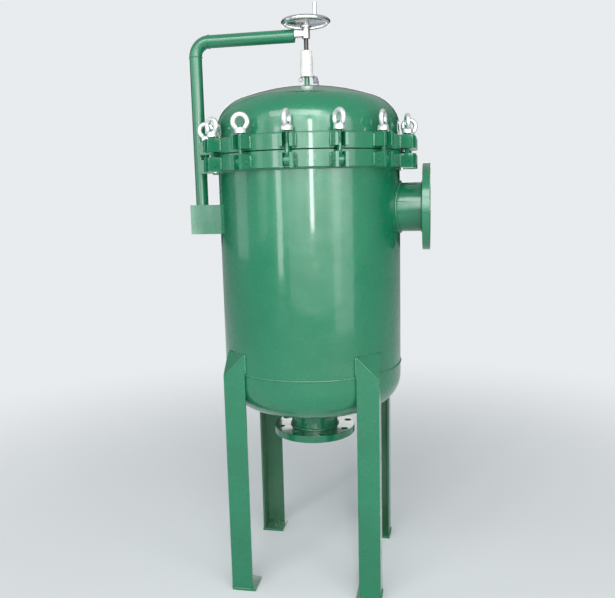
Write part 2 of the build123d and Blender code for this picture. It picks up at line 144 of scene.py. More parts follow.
# World: white where the camera sees it and dim where it lights. Gloss and chrome reflect a pale sky, a warm
# dark band behind the object, and a bright window in front of it, broken into panes, that fades downwards.
SKY_LIGHT = 0.62
WINDOW_LIGHT = 6.0
FILL_LIGHT = 0.44
PANES_ROUND = 3.4
world = bpy.data.worlds.new("studio")
scene.world = world
world.use_nodes = True
tree = world.node_tree
tree.nodes.clear()
direction = add(tree, "ShaderNodeTexCoord").outputs["Generated"]
parts = add(tree, "ShaderNodeSeparateXYZ", {0: direction})
behind = add(
    tree,
    "ShaderNodeMapRange",
    {"Value": parts.outputs["Y"], "From Min": -0.15, "From Max": 0.45},
)
level = add(tree, "ShaderNodeMath", {0: parts.outputs["Z"], 1: 0.02}, operation="SUBTRACT")
height = add(tree, "ShaderNodeMath", {0: level.outputs[0]}, operation="ABSOLUTE")
low = add(tree, "ShaderNodeMapRange", {"Value": height.outputs[0], "From Min": 0.5, "From Max": 0.12})
dark_band = add(
    tree,
    "ShaderNodeMath",
    {0: behind.outputs[0], 1: low.outputs[0]},
    operation="MULTIPLY",
)
reflected = add(
    tree,
    "ShaderNodeMix",
    {0: dark_band.outputs[0], 6: colour("#e4e8ea"), 7: colour("#1d1613")},
    data_type="RGBA",
)
tall = add(tree, "ShaderNodeVectorMath", {0: direction, 1: (1.0, 1.0, 0.12)}, operation="MULTIPLY")
panes = add(tree, "ShaderNodeTexNoise", {"Vector": tall.outputs[0], "Scale": PANES_ROUND, "Detail": 1.5})
pane = add(
    tree,
    "ShaderNodeMapRange",
    {"Value": panes.outputs["Fac"], "From Min": 0.4, "From Max": 0.62},
)
in_front = add(
    tree,
    "ShaderNodeMapRange",
    {"Value": parts.outputs["Y"], "From Min": -0.35, "From Max": -0.75},
)
lit_low = add(
    tree,
    "ShaderNodeMapRange",
    {"Value": parts.outputs["Z"], "From Min": -0.22, "From Max": 0.34},
    interpolation_type="SMOOTHSTEP",
)
lit_high = add(
    tree,
    "ShaderNodeMapRange",
    {"Value": parts.outputs["Z"], "From Min": 0.72, "From Max": 0.6},
)
window = pane
for bound in (lit_low, lit_high, in_front):
    window = add(
        tree,
        "ShaderNodeMath",
        {0: window.outputs[0], 1: bound.outputs[0]},
        operation="MULTIPLY",
    )
mirror_strength = add(
    tree,
    "ShaderNodeMapRange",
    {"Value": window.outputs[0], "To Min": SKY_LIGHT, "To Max": WINDOW_LIGHT},
)
rays = add(tree, "ShaderNodeLightPath")
backdrop = add(tree, "ShaderNodeBackground", {"Color": BACKDROP, "Strength": BACKDROP_LIGHT})
mirrored = add(
    tree,
    "ShaderNodeBackground",
    {"Color": reflected.outputs[2], "Strength": mirror_strength.outputs[0]},
)
dim_world = add(tree, "ShaderNodeBackground", {"Color": colour("#e6ecef"), "Strength": FILL_LIGHT})
unseen = add(
    tree,
    "ShaderNodeMixShader",
    {0: rays.outputs["Is Glossy Ray"], 1: dim_world.outputs[0], 2: mirrored.outputs[0]},
)
chosen = add(
    tree,
    "ShaderNodeMixShader",
    {0: rays.outputs["Is Camera Ray"], 1: unseen.outputs[0], 2: backdrop.outputs[0]},
)
add(tree, "ShaderNodeOutputWorld", {"Surface": chosen.outputs[0]})


# Lights: a broad softbox in front, two narrow ones that draw the long highlights on the shell, one
# overhead that the lid reflects, weak ones at the sides, and one behind for the far side.
def soft_light(name, place, target, width, height, power, tint):
    """A rectangular softbox that faces a point."""
    lamp = bpy.data.lights.new(name, "AREA")
    lamp.shape = "RECTANGLE"
    lamp.size = width
    lamp.size_y = height
    lamp.energy = power
    lamp.color = colour(tint)[:3]
    made = bpy.data.objects.new(name, lamp)
    made.location = place
    made.rotation_euler = (Vector(target) - Vector(place)).to_track_quat("-Z", "Y").to_euler()
    scene.collection.objects.link(made)
    return made


VESSEL_MIDDLE = (0.0, 0.0, 1.05)
WHITE = "#ffffff"
soft_light("front_softbox", (1.1, -4.0, 1.8), VESSEL_MIDDLE, 5.2, 3.2, 62, "#fffdf8")
soft_light("left_strip", (-2.8, -5.64, 1.3), (0, 0, 1.3), 0.70, 1.9, 22, WHITE)
soft_light("middle_strip", (0.80, -3.5, 1.65), (0, 0, 1.65), 0.26, 1.25, 18, WHITE)
soft_light("right_softbox", (2.73, -2.34, 1.3), VESSEL_MIDDLE, 1.6, 2.2, 16, WHITE)
soft_light("overhead_softbox", (-0.23, -2.4, 3.1), (0, -0.1, 1.4), 3.0, 0.9, 36, WHITE)
soft_light("back_softbox", (-0.8, 4.4, 1.9), VESSEL_MIDDLE, 2.6, 1.6, 26, WHITE)
soft_light("left_softbox", (-3.2, -0.6, 1.8), VESSEL_MIDDLE, 1.2, 2.0, 7, "#eef6ff")

# Camera: a 40 mm lens at eye height, two and a quarter metres in front and a little to the right.
CAMERA_DISTANCE = 2.3159
CAMERA_BEARING = math.radians(10.415)
CAMERA_HEIGHT = 1.3024
CAMERA_HEADING = CAMERA_BEARING + math.radians(0.387)
CAMERA_DIP = math.radians(8.671)
CAMERA_ROLL = math.radians(-1.386)
lens = bpy.data.cameras.new("camera")
lens.sensor_width = 36.0
lens.lens = 39.99
camera = bpy.data.objects.new("camera", lens)
stand = Vector((math.sin(CAMERA_BEARING), -math.cos(CAMERA_BEARING), 0)) * CAMERA_DISTANCE
level = Matrix.Rotation(CAMERA_HEADING, 4, "Z") @ Matrix.Rotation(math.pi / 2 - CAMERA_DIP, 4, "X")
camera.matrix_world = (
    Matrix.Translation(stand + Vector((0, 0, CAMERA_HEIGHT))) @ level @ Matrix.Rotation(CAMERA_ROLL, 4, "Z")
)
scene.collection.objects.link(camera)
scene.camera = camera


# Shell and heads: rolled plate and pressed dished heads, butt-welded and sprayed with green enamel. It is
# glossy, wavy where the plate is, uneven in tone, and browner where it faces up. Its orange peel, about a
# millimetre across in life, is drawn coarser so that it shows.
TONE_PATCH = 0.25
DIRT_BLOTCH = 1 / 15
PLATE_WAVE = 1 / 11
ORANGE_PEEL = 1 / 220
DUST = colour("#776749")


def coating(name, tone, dark, dull, roughness, dull_share=0.5, dust_share=0.4):
    """A smooth coat whose tone drifts between two colours, with dull blotches and a brown tint on what
    faces up.
    """
    material, tree, output = new_material(name)
    place = add(tree, "ShaderNodeTexCoord").outputs["Object"]
    drift = add(
        tree,
        "ShaderNodeTexNoise",
        {"Vector": place, "Scale": 1 / TONE_PATCH, "Detail": 5.0, "Roughness": 0.6},
    )
    tones = add(
        tree,
        "ShaderNodeMix",
        {0: drift.outputs["Fac"], 6: colour(tone), 7: colour(dark)},
        data_type="RGBA",
    )
    dirt = add(
        tree,
        "ShaderNodeTexNoise",
        {"Vector": place, "Scale": 1 / DIRT_BLOTCH, "Detail": 8.0, "Roughness": 0.68},
    )
    patches = add(
        tree,
        "ShaderNodeMapRange",
        {"Value": dirt.outputs["Fac"], "From Min": 0.60, "From Max": 0.78, "To Max": dull_share},
    )
    dirty = add(
        tree,
        "ShaderNodeMix",
        {0: patches.outputs[0], 6: tones.outputs[2], 7: colour(dull)},
        data_type="RGBA",
    )
    facing = add(tree, "ShaderNodeSeparateXYZ", {0: add(tree, "ShaderNodeNewGeometry").outputs["Normal"]})
    upward = add(
        tree,
        "ShaderNodeMapRange",
        {"Value": facing.outputs["Z"], "From Min": 0.80, "From Max": 1.0, "To Max": dust_share},
    )
    settled = add(
        tree,
        "ShaderNodeMath",
        {0: upward.outputs[0], 1: dirt.outputs["Fac"]},
        operation="MULTIPLY",
    )
    dusty = add(
        tree,
        "ShaderNodeMix",
        {0: settled.outputs[0], 6: dirty.outputs[2], 7: DUST},
        data_type="RGBA",
    )
    gloss = add(
        tree,
        "ShaderNodeMapRange",
        {
            "Value": dirt.outputs["Fac"],
            "From Min": 0.4,
            "From Max": 0.8,
            "To Min": roughness,
            "To Max": roughness + 0.2,
        },
    )
    peel = add(tree, "ShaderNodeTexNoise", {"Vector": place, "Scale": 1 / ORANGE_PEEL, "Detail": 2.0})
    waves = add(tree, "ShaderNodeTexNoise", {"Vector": place, "Scale": 1 / PLATE_WAVE, "Detail": 3.0})
    coarse = add(
        tree,
        "ShaderNodeBump",
        {"Height": waves.outputs["Fac"], "Strength": 0.6, "Distance": 0.004},
    )
    bump = add(
        tree,
        "ShaderNodeBump",
        {"Height": peel.outputs["Fac"], "Normal": coarse.outputs[0], "Strength": 0.22, "Distance": 0.0006},
    )
    shader = add(
        tree,
        "ShaderNodeBsdfPrincipled",
        {
            "Base Color": dusty.outputs[2],
            "Roughness": gloss.outputs[0],
            "Normal": bump.outputs[0],
            "Coat Weight": 0.8,
            "Coat Roughness": 0.07,
        },
    )
    tree.links.new(shader.outputs[0], output.inputs[0])
    return material


green_enamel = coating("green_enamel", "#1f8a63", "#146f4d", "#4f5f38", 0.2, 0.45, 0.3)


def merged_copy(node_name):
    """A bmesh of a CAD node with its triangles joined up and its flat faces made whole."""
    copy = bmesh.new()
    copy.from_mesh(frame["nodes"][node_name].data)
    bmesh.ops.remove_doubles(copy, verts=copy.verts, dist=1e-6)
    bmesh.ops.dissolve_limit(copy, angle_limit=math.radians(0.2), verts=copy.verts, edges=copy.edges)
    return copy


def finish_piece(piece, node_name):
    """Lets a piece stand for a CAD node: puts it on that node's body and hides the node."""
    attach(piece, frame["nodes"][node_name]["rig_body"])
    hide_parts(node_name)
    return piece


def eased(node_name, material, edge):
    """The CAD node's own shape with its sharp edges eased by a small round."""
    piece = object_from(merged_copy(node_name), node_name + "_finished", material)
    rounding = piece.modifiers.new("eased_edges", "BEVEL")
    rounding.width = edge
    rounding.segments = 2
    rounding.limit_method = "ANGLE"
    rounding.angle_limit = math.radians(35)
    rounding.harden_normals = True
    return finish_piece(piece, node_name)


for part_name in ("shell", "bottom_head", "lid_dome"):
    eased(part_name, green_enamel, 0.0015)

# Nozzles, flanges and closure rings: cut pipe and turned plate, their corners broken before painting.
for part_name in ("side_nozzle", "side_flange", "bottom_nozzle", "bottom_flange", "body_ring", "lid_ring"):
    eased(part_name, green_enamel, 0.0016)

# Lugs, pins, feet, davit and stud: sawn plate, turned bar and pipe under the same enamel.
for part_name in ("body_lugs", "lid_lugs", "foot_plates", "davit_bracket", "davit_post", "davit_elbow"):
    eased(part_name, green_enamel, 0.001)
for part_name in ("davit_arm", "lid_stud", "hinge_pins"):
    eased(part_name, green_enamel, 0.001)

# Legs: rolled angle. The rear two are painted duller, darker and browner than the front two: painted shade
# and a painted brown reflection, for where they stand behind the vessel in its shadow.
shaded_enamel = coating("painted_shade_green_enamel", "#3f7a58", "#2f5f45", "#5b4a38", 0.32, 0.75)
for part_name in ("leg_front_left", "leg_front_right"):
    eased(part_name, green_enamel, 0.0012)
for part_name in ("leg_rear_left", "leg_rear_right"):
    eased(part_name, shaded_enamel, 0.0012)

# Vessel welds: beads of filler metal laid by hand, scalloped by each ripple of the pool and sprayed with
# the rest, so that every scallop catches the light.
RIPPLE = 0.0045
BEAD_SIDES = 8
PATH_SAMPLES = 64


def circle(centre, radius, axis, flat=None):
    """A path once round an axis from the given centre; flat turns each point into the one it is laid at."""
    side = axis.orthogonal().normalized()
    other = axis.cross(side)

    def path(share):
        turn = 2 * math.pi * share
        point = Vector(centre) + radius * (math.cos(turn) * side + math.sin(turn) * other)
        return flat(point) if flat else point

    return path


def line(start, end):
    """A straight path."""
    return lambda share: Vector(start).lerp(Vector(end), share)


def weld(made, path, size, facing, closed=False):
    """Lays a rippled bead along a path, which gives a point for each share of its length.

    The bead's section is squared to facing, which never lies along the path.
    """
    points = [path(i / PATH_SAMPLES) for i in range(PATH_SAMPLES + 1)]
    length = sum((end - start).length for start, end in zip(points, points[1:]))
    ripples = max(3, round(length / RIPPLE))
    bead = bmesh.new()
    bmesh.ops.create_cone(
        bead,
        cap_ends=not closed,
        segments=BEAD_SIDES,
        radius1=size,
        radius2=size,
        depth=1.0,
        matrix=Matrix.Translation((0, 0, 0.5)),
    )
    long_edges = [edge for edge in bead.edges if abs(edge.verts[0].co.z - edge.verts[1].co.z) > 0.5]
    bmesh.ops.subdivide_edges(bead, edges=long_edges, cuts=3 * ripples - 1)
    for vert in bead.verts:
        share = vert.co.z
        here = path(share)
        ahead = (path(share + 0.001) - path(share - 0.001)).normalized()
        side = ahead.cross(facing).normalized()
        swell = 0.84 + 0.22 * abs(math.sin(math.pi * share * ripples)) + 0.16 * noise.noise(here * 60)
        if not closed:
            swell *= max(0.25, 1 - (2 * share - 1) ** 12)
        vert.co = here + swell * (vert.co.x * side + vert.co.y * side.cross(ahead))
    if closed:
        bmesh.ops.remove_doubles(bead, verts=bead.verts, dist=1e-5)
    laid = bpy.data.meshes.new("bead")
    bead.to_mesh(laid)
    bead.free()
    made.from_mesh(laid)
    bpy.data.meshes.remove(laid)


def welds(name, body, made):
    """Finishes a group of beads as one painted piece on a body."""
    bmesh.ops.recalc_face_normals(made, faces=made.faces)
    piece = object_from(made, name, green_enamel, sharp=60)
    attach(piece, body)


UP = Vector((0, 0, 1))
ALONG_X = Vector((1, 0, 0))
shell_low, shell_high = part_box("shell")
shell_r = shell_high[0]
seam_height = shell_low[2]
ring_low, ring_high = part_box("body_ring")
lid_low, lid_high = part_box("lid_ring")
side_low, side_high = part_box("side_nozzle")
pipe_r = (side_high[1] - side_low[1]) / 2
side_axis_height = (side_low[2] + side_high[2]) / 2
bottom_low, bottom_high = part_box("bottom_nozzle")


def on_shell(point):
    """The point moved along X on to the outside of the shell."""
    return Vector((math.sqrt(shell_r**2 - point.y**2) + 0.0015, point.y, point.z))


vessel_welds = bmesh.new()
weld(vessel_welds, circle((0, 0, seam_height), shell_r - 0.0015, UP), 0.0042, UP, True)
weld(vessel_welds, circle((0, 0, ring_low[2] - 0.001), shell_r + 0.001, UP), 0.0042, UP, True)
root_path = circle((0, 0, side_axis_height), pipe_r + 0.001, ALONG_X, on_shell)
weld(vessel_welds, root_path, 0.005, ALONG_X, True)
flange_path = circle((side_high[0] - 0.001, 0, side_axis_height), pipe_r + 0.001, ALONG_X)
weld(vessel_welds, flange_path, 0.004, ALONG_X, True)
weld(vessel_welds, circle((0, 0, bottom_low[2] + 0.001), pipe_r + 0.001, UP), 0.004, UP, True)
weld(vessel_welds, circle((0, 0, bottom_high[2] - 0.004), pipe_r + 0.002, UP), 0.005, UP, True)
LONG_SEAM_BEARING = 105
back = Matrix.Rotation(math.radians(LONG_SEAM_BEARING), 4, "Z") @ Vector((shell_r - 0.0015, 0, 0))
weld(vessel_welds, line(back + UP * seam_height, back + UP * ring_low[2]), 0.0042, back)
welds("vessel_welds", "vessel", vessel_welds)

# Lug welds: one bead up the outer side of every lug plate, where it meets the rim of its ring, and one
# round the foot of the lid's dome.
BOLT_COUNT = 14
LUG_HALF_PAIR = 0.020
LUG_BEAD = 0.0048
lid_welds = bmesh.new()
weld(lid_welds, circle((0, 0, lid_high[2] + 0.001), shell_r + 0.001, UP), 0.0042, UP, True)
ring_r = ring_high[0]
body_lug_low, body_lug_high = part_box("body_lugs")
lug_welds = bmesh.new()
for number in range(BOLT_COUNT):
    turn = Matrix.Rotation(math.radians((number + 0.5) * 360 / BOLT_COUNT), 4, "Z")
    for side in (-1, 1):
        foot = turn @ Vector((ring_r + 0.0005, side * (LUG_HALF_PAIR + 0.001), 0))
        body_run = line(foot + UP * (ring_low[2] + 0.001), foot + UP * (body_lug_high[2] - 0.001))
        weld(lug_welds, body_run, LUG_BEAD, turn @ ALONG_X)
        lid_run = line(foot + UP * (lid_low[2] + 0.003), foot + UP * (lid_high[2] - 0.001))
        weld(lid_welds, lid_run, LUG_BEAD, turn @ ALONG_X)
welds("body_lug_welds", "vessel", lug_welds)

# Leg and bracket welds: down both toes of each angle, over its sloped cap, across its foot, and round the
# davit's bracket.
leg_low, leg_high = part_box("leg_rear_right")
heel = leg_high[0]
foot_low, foot_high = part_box("foot_plates")
LEG_SIDE = 0.070
MIRRORED = Matrix(((0, 1, 0, 0), (1, 0, 0, 0), (0, 0, 1, 0), (0, 0, 0, 1)))
leg_welds = bmesh.new()
heel_top = leg_high[2] - LEG_SIDE
for quarter in range(4):
    turn = Matrix.Rotation(math.radians(90 * quarter), 4, "Z")
    for across in (Matrix.Identity(4), MIRRORED):
        place = turn @ across
        toe = Vector((heel - LEG_SIDE, heel, 0))
        seat = toe.normalized() * (shell_r + 0.002)
        low_end = place @ (seat + UP * (seam_height + 0.002))
        high_end = place @ (seat + UP * (heel_top + LEG_SIDE))
        weld(leg_welds, line(low_end, high_end), 0.0038, place @ ALONG_X)
        cap_low = place @ Vector((heel - 0.001, heel - 0.001, heel_top))
        cap_high = place @ Vector((heel - LEG_SIDE, heel - 0.001, heel_top + LEG_SIDE - 0.001))
        weld(leg_welds, line(cap_low, cap_high), 0.0026, UP)
        foot_start = place @ Vector((heel - LEG_SIDE + 0.004, heel, foot_high[2]))
        foot_end = place @ Vector((heel - 0.001, heel, foot_high[2]))
        weld(leg_welds, line(foot_start, foot_end), 0.0035, UP)
bracket_low, bracket_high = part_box("davit_bracket")
bracket_wall_x = -math.sqrt(shell_r**2 - bracket_high[1] ** 2) - 0.001
for z in (bracket_low[2], bracket_high[2]):
    start = Vector((-shell_r - 0.0005, bracket_low[1], z))
    weld(leg_welds, line(start, start + Vector((0, 2 * bracket_high[1], 0))), 0.0036, UP)
for y in (bracket_low[1], bracket_high[1]):
    corner = Vector((bracket_wall_x - 0.001, y, 0))
    weld(leg_welds, line(corner + UP * bracket_low[2], corner + UP * bracket_high[2]), 0.0036, ALONG_X)
welds("leg_welds", "vessel", leg_welds)

# Davit and lid welds: round both ends of the pipe bend, beside the arm's tab and round the pad of the
# lid's stud.
post_low, post_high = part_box("davit_post")
arm_low, arm_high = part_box("davit_arm")
post_x = (post_low[0] + post_high[0]) / 2
davit_pipe_r = (post_high[0] - post_low[0]) / 2
arm_height = (arm_low[2] + arm_high[2]) / 2
davit_welds = bmesh.new()
bend_foot = circle((post_x, 0, post_high[2]), davit_pipe_r - 0.0006, UP)
weld(davit_welds, bend_foot, 0.0024, UP, True)
bend_end = circle((arm_low[0], 0, arm_height), davit_pipe_r - 0.0006, ALONG_X)
weld(davit_welds, bend_end, 0.0024, ALONG_X, True)
for side in (-1, 1):
    start = Vector((arm_high[0] + 0.0005, side * 0.015, arm_height - 0.004))
    weld(davit_welds, line(start, start + UP * 0.016), 0.0028, ALONG_X)
welds("davit_welds", "davit", davit_welds)
stud_low, stud_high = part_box("lid_stud")
weld(lid_welds, circle((0, 0, stud_low[2]), 0.018, UP), 0.0034, UP, True)
welds("lid_welds", "lid", lid_welds)


# Eye nuts: drop-forged steel with soft corners, zinc-plated and passivated, which gives an almost white
# shine with a milky bloom.
def metal(name, tone, shade, roughness, grain, metallic=1.0):
    """Plain metal whose tone and roughness drift a little over the given grain size in metres."""
    material, tree, output = new_material(name)
    place = add(tree, "ShaderNodeTexCoord").outputs["Object"]
    bloom = add(tree, "ShaderNodeTexNoise", {"Vector": place, "Scale": 1 / grain, "Detail": 5.0})
    tones = add(
        tree,
        "ShaderNodeMix",
        {0: bloom.outputs["Fac"], 6: colour(tone), 7: colour(shade)},
        data_type="RGBA",
    )
    gloss = add(
        tree,
        "ShaderNodeMapRange",
        {
            "Value": bloom.outputs["Fac"],
            "From Min": 0.3,
            "From Max": 0.7,
            "To Min": roughness,
            "To Max": roughness + 0.15,
        },
    )
    bump = add(
        tree,
        "ShaderNodeBump",
        {"Height": bloom.outputs["Fac"], "Strength": 0.25, "Distance": 0.0005},
    )
    shader = add(
        tree,
        "ShaderNodeBsdfPrincipled",
        {
            "Base Color": tones.outputs[2],
            "Metallic": metallic,
            "Roughness": gloss.outputs[0],
            "Normal": bump.outputs[0],
        },
    )
    tree.links.new(shader.outputs[0], output.inputs[0])
    return material


FORGED_SKIN = 0.0012
zinc_plate = metal("zinc_plated_steel", "#fbfcfc", "#e4e8ea", 0.28, 0.012, 0.75)
for number in range(1, BOLT_COUNT + 1):
    nut_name = f"eye_nut_{number:02d}"
    nut = object_from(merged_copy(nut_name), nut_name + "_forged", zinc_plate)
    skin = nut.modifiers.new("forged_skin", "REMESH")
    skin.mode = "VOXEL"
    skin.voxel_size = FORGED_SKIN
    skin.use_smooth_shade = True
    flow = nut.modifiers.new("soft_corners", "SMOOTH")
    flow.factor = 0.5
    flow.iterations = 6
    finish_piece(nut, nut_name)

# Swing bolts: an eye forged on a bar with a rolled thread, sprayed with the same green enamel as the
# lugs. The thread has its real pitch.
THREAD_STEPS = 16


def rolled_thread(made, place, low, high, crest, depth, pitch):
    """Adds a screw thread about the Z axis of a place: a root cylinder and one ridge wound round it."""
    root = crest - depth
    middle = place @ Matrix.Translation((0, 0, (low + high) / 2))
    bmesh.ops.create_cone(
        made, cap_ends=True, segments=32, radius1=root, radius2=root, depth=high - low, matrix=middle
    )
    turns = int((high - low) / pitch) - 1
    ridge = [
        made.verts.new(place @ Vector((root - 0.0003, 0, low))),
        made.verts.new(place @ Vector((crest, 0, low + pitch * 0.42))),
        made.verts.new(place @ Vector((crest, 0, low + pitch * 0.55))),
        made.verts.new(place @ Vector((root - 0.0003, 0, low + pitch * 0.97))),
    ]
    edges = [made.edges.new((ridge[i], ridge[(i + 1) % 4])) for i in range(4)]
    bmesh.ops.spin(
        made,
        geom=ridge + edges,
        cent=place.translation,
        axis=place.to_3x3() @ UP,
        dvec=place.to_3x3() @ UP * (pitch / THREAD_STEPS),
        angle=2 * math.pi * turns,
        steps=THREAD_STEPS * turns,
    )


THREAD_LENGTH = 0.062
THREAD_PITCH = 0.002
THREAD_DEPTH = 0.0011
BOLT_R = 0.008
PIN_CIRCLE_OUT = 0.018
for number in range(1, BOLT_COUNT + 1):
    bolt_name = f"swing_bolt_{number:02d}"
    bolt = merged_copy(bolt_name)
    bolt_low, bolt_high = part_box(bolt_name)
    thread_low = bolt_high[2] - THREAD_LENGTH
    geometry = bolt.verts[:] + bolt.edges[:] + bolt.faces[:]
    cut = bmesh.ops.bisect_plane(
        bolt, geom=geometry, plane_co=(0, 0, thread_low), plane_no=(0, 0, 1), clear_outer=True
    )
    rim = [part for part in cut["geom_cut"] if isinstance(part, bmesh.types.BMEdge)]
    bmesh.ops.holes_fill(bolt, edges=rim)
    turn = math.radians((number - 0.5) * 360 / BOLT_COUNT)
    axis_r = ring_r + PIN_CIRCLE_OUT
    axis = Matrix.Translation((axis_r * math.cos(turn), axis_r * math.sin(turn), 0))
    rolled_thread(bolt, axis, thread_low, bolt_high[2], BOLT_R, THREAD_DEPTH, THREAD_PITCH)
    bmesh.ops.recalc_face_normals(bolt, faces=bolt.faces)
    finish_piece(object_from(bolt, bolt_name + "_threaded", green_enamel), bolt_name)

# Arm's tab and boss: bright drawn bar, left unpainted where the screw runs through, pale with a soft shine.
bright_steel = metal("bright_drawn_steel", "#e3dedd", "#b3abad", 0.3, 0.008, 0.9)
eased("davit_eye", bright_steel, 0.0012)

# Handwheel and grip: pressed disc and round rim, polished and chromed, so that they mirror whatever stands
# round them.
chrome = metal("chromed_steel", "#e9e9ea", "#d2d2d4", 0.07, 0.05)
eased("handwheel", chrome, 0.0008)
eased("wheel_grip", chrome, 0.0005)

# Screw: turned bar with a coarse trapezoidal thread, dark with grease.
SCREW_PITCH = 0.004
SCREW_THREAD_DEPTH = 0.0014
greased_steel = metal("greased_turned_steel", "#8d8b86", "#3f3e3b", 0.25, 0.004)
screw_low, screw_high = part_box("lift_screw")
screw = bmesh.new()
rolled_thread(
    screw, Matrix.Identity(4), screw_low[2], screw_high[2], screw_high[0], SCREW_THREAD_DEPTH, SCREW_PITCH
)
bmesh.ops.recalc_face_normals(screw, faces=screw.faces)
finish_piece(object_from(screw, "lift_screw_threaded", greased_steel), "lift_screw")
eased("screw_foot", greased_steel, 0.0006)

# Sleeve: white stretch film wound round the screw and its foot to keep the grease in. Each turn laps the
# last one by a small step, with creases across it and the end gathered in at the top.
white_film = coating("white_film", "#fbfaf6", "#f1efe9", "#dedbd2", 0.3, 0.3, 0.05)
sleeve_low, sleeve_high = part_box("screw_sleeve")
FILM_PITCH = 0.020
FILM_STEP = 0.0007
FILM_FOOT_R = 0.0212
FILM_TOP_R = 0.0182
FILM_THICK = 0.0008
SLOT_HALF_WIDTH = 0.016
SLOT_HEIGHT = 0.022
FILM_ROWS = 85
slot_top = sleeve_low[2] + SLOT_HEIGHT
film = bmesh.new()
film_height = sleeve_high[2] - sleeve_low[2]
bmesh.ops.create_cone(
    film,
    cap_ends=False,
    segments=96,
    radius1=FILM_FOOT_R,
    radius2=FILM_TOP_R,
    depth=film_height,
    matrix=Matrix.Translation((0, 0, sleeve_low[2] + film_height / 2)),
)
long_edges = [edge for edge in film.edges if abs(edge.verts[0].co.z - edge.verts[1].co.z) > film_height / 2]
bmesh.ops.subdivide_edges(film, edges=long_edges, cuts=FILM_ROWS)
in_slot = [v for v in film.verts if v.co.y > 0 and abs(v.co.x) < SLOT_HALF_WIDTH and v.co.z < slot_top]
bmesh.ops.delete(film, geom=in_slot, context="VERTS")
for vert in film.verts:
    radius = math.hypot(vert.co.x, vert.co.y)
    angle = math.atan2(vert.co.y, vert.co.x)
    wound = (vert.co.z / FILM_PITCH - angle / (2 * math.pi)) % 1.0
    crease = noise.noise(Vector((angle * 3, vert.co.z * 25, 1.7))) * 0.0009
    crease += noise.noise(Vector((angle * 9, vert.co.z * 130, 4.1))) * 0.0004
    closing = max(0.0, 1 - (sleeve_high[2] - vert.co.z) / 0.006)
    wanted = (radius + FILM_STEP * (1 - wound) + crease) * (1 - 0.45 * closing**2)
    vert.co.x *= wanted / radius
    vert.co.y *= wanted / radius
sleeve = object_from(film, "screw_sleeve_film", white_film, sharp=50)
thickness = sleeve.modifiers.new("film_layers", "SOLIDIFY")
thickness.thickness = FILM_THICK
finish_piece(sleeve, "screw_sleeve")

# Loose tail and knot of the film: greyish stretch film crumpled beside the lid's stud, glossy where it is
# pulled tight.
TAIL_WIDTH = 0.016
TAIL_DROP = 0.026
clear_film = coating("crumpled_stretch_film", "#c9c8d6", "#8e8da4", "#5f5d70", 0.18, 0.6, 0.1)
tail = bmesh.new()
bmesh.ops.create_grid(tail, x_segments=28, y_segments=24, size=0.5)
for vert in tail.verts:
    across = vert.co.x + 0.5
    down = 0.5 - vert.co.y
    ruck = noise.noise(Vector((across * 4, down * 3, 0.5))) * 0.009
    ruck += noise.noise(Vector((across * 11, down * 9, 2.5))) * 0.004
    fold = 0.006 * math.sin(across * 9.0)
    x = 0.0165 + TAIL_WIDTH * across + 0.006 * down + abs(ruck) * 0.3
    y = -0.010 + TAIL_WIDTH * across + fold + ruck
    z = sleeve_low[2] + 0.004 - TAIL_DROP * down - 0.003 * across + ruck * 0.3
    vert.co = Vector((x, y, z))
tail_piece = object_from(tail, "film_tail", clear_film, sharp=80)
tail_skin = tail_piece.modifiers.new("film_thickness", "SOLIDIFY")
tail_skin.thickness = 0.0006
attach(tail_piece, "screw")
KNOT_AXIS = Vector((0.35, -0.9, 0.2))
KNOT_R = 0.0062
loop = bmesh.new()
knot_path = circle((-0.0195, -0.004, sleeve_low[2] - 0.008), KNOT_R, KNOT_AXIS.normalized())
weld(loop, knot_path, 0.0016, KNOT_AXIS, True)
bmesh.ops.recalc_face_normals(loop, faces=loop.faces)
loop_piece = object_from(loop, "film_knot", clear_film, sharp=80)
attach(loop_piece, "screw")

# Seal: a moulded rubber cord in the body ring's groove, matt black.
rubber = coating("moulded_rubber", "#161616", "#0c0c0c", "#242422", 0.5, 0.3, 0.05)
eased("ring_seal", rubber, 0.0004)

# Basket plate and baskets: pickled stainless sheet with a grey satin look, the baskets punched with rows of
# square holes. Real holes are about 4 mm wide; these are drawn about 7 mm wide, so that they show.
stainless = metal("pickled_stainless", "#b9bcbf", "#999c9f", 0.35, 0.02)
eased("basket_plate", stainless, 0.0006)
baskets_low, baskets_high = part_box("baskets")
bags_low, bags_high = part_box("filter_bags")
BASKET_COUNT = 5
BASKET_R = 0.0825
BASKET_SHEET = 0.002
BASKET_RIM_R = 0.095
BASKET_ROWS = 32
BASKET_HOLES_ROUND = 44
WEB = 0.0022
PLAIN_BAND = 0.02
BASKET_RIM_THICK = 0.003
NEAR = 1e-5
pitch_r = baskets_high[1] - BASKET_RIM_R


def five_of(single, name, material, sharp=35):
    """Sets copies of one piece at the five places of the basket plate, as one object."""
    group = bmesh.new()
    unit = bpy.data.meshes.new("unit")
    single.to_mesh(unit)
    single.free()
    for place in range(BASKET_COUNT):
        turn = Matrix.Rotation(math.radians(90 + 360 * place / BASKET_COUNT), 4, "Z")
        copy = unit.copy()
        copy.transform(Matrix.Translation(turn @ Vector((pitch_r, 0, 0))) @ turn)
        group.from_mesh(copy)
        bpy.data.meshes.remove(copy)
    bpy.data.meshes.remove(unit)
    return object_from(group, name, material, sharp)


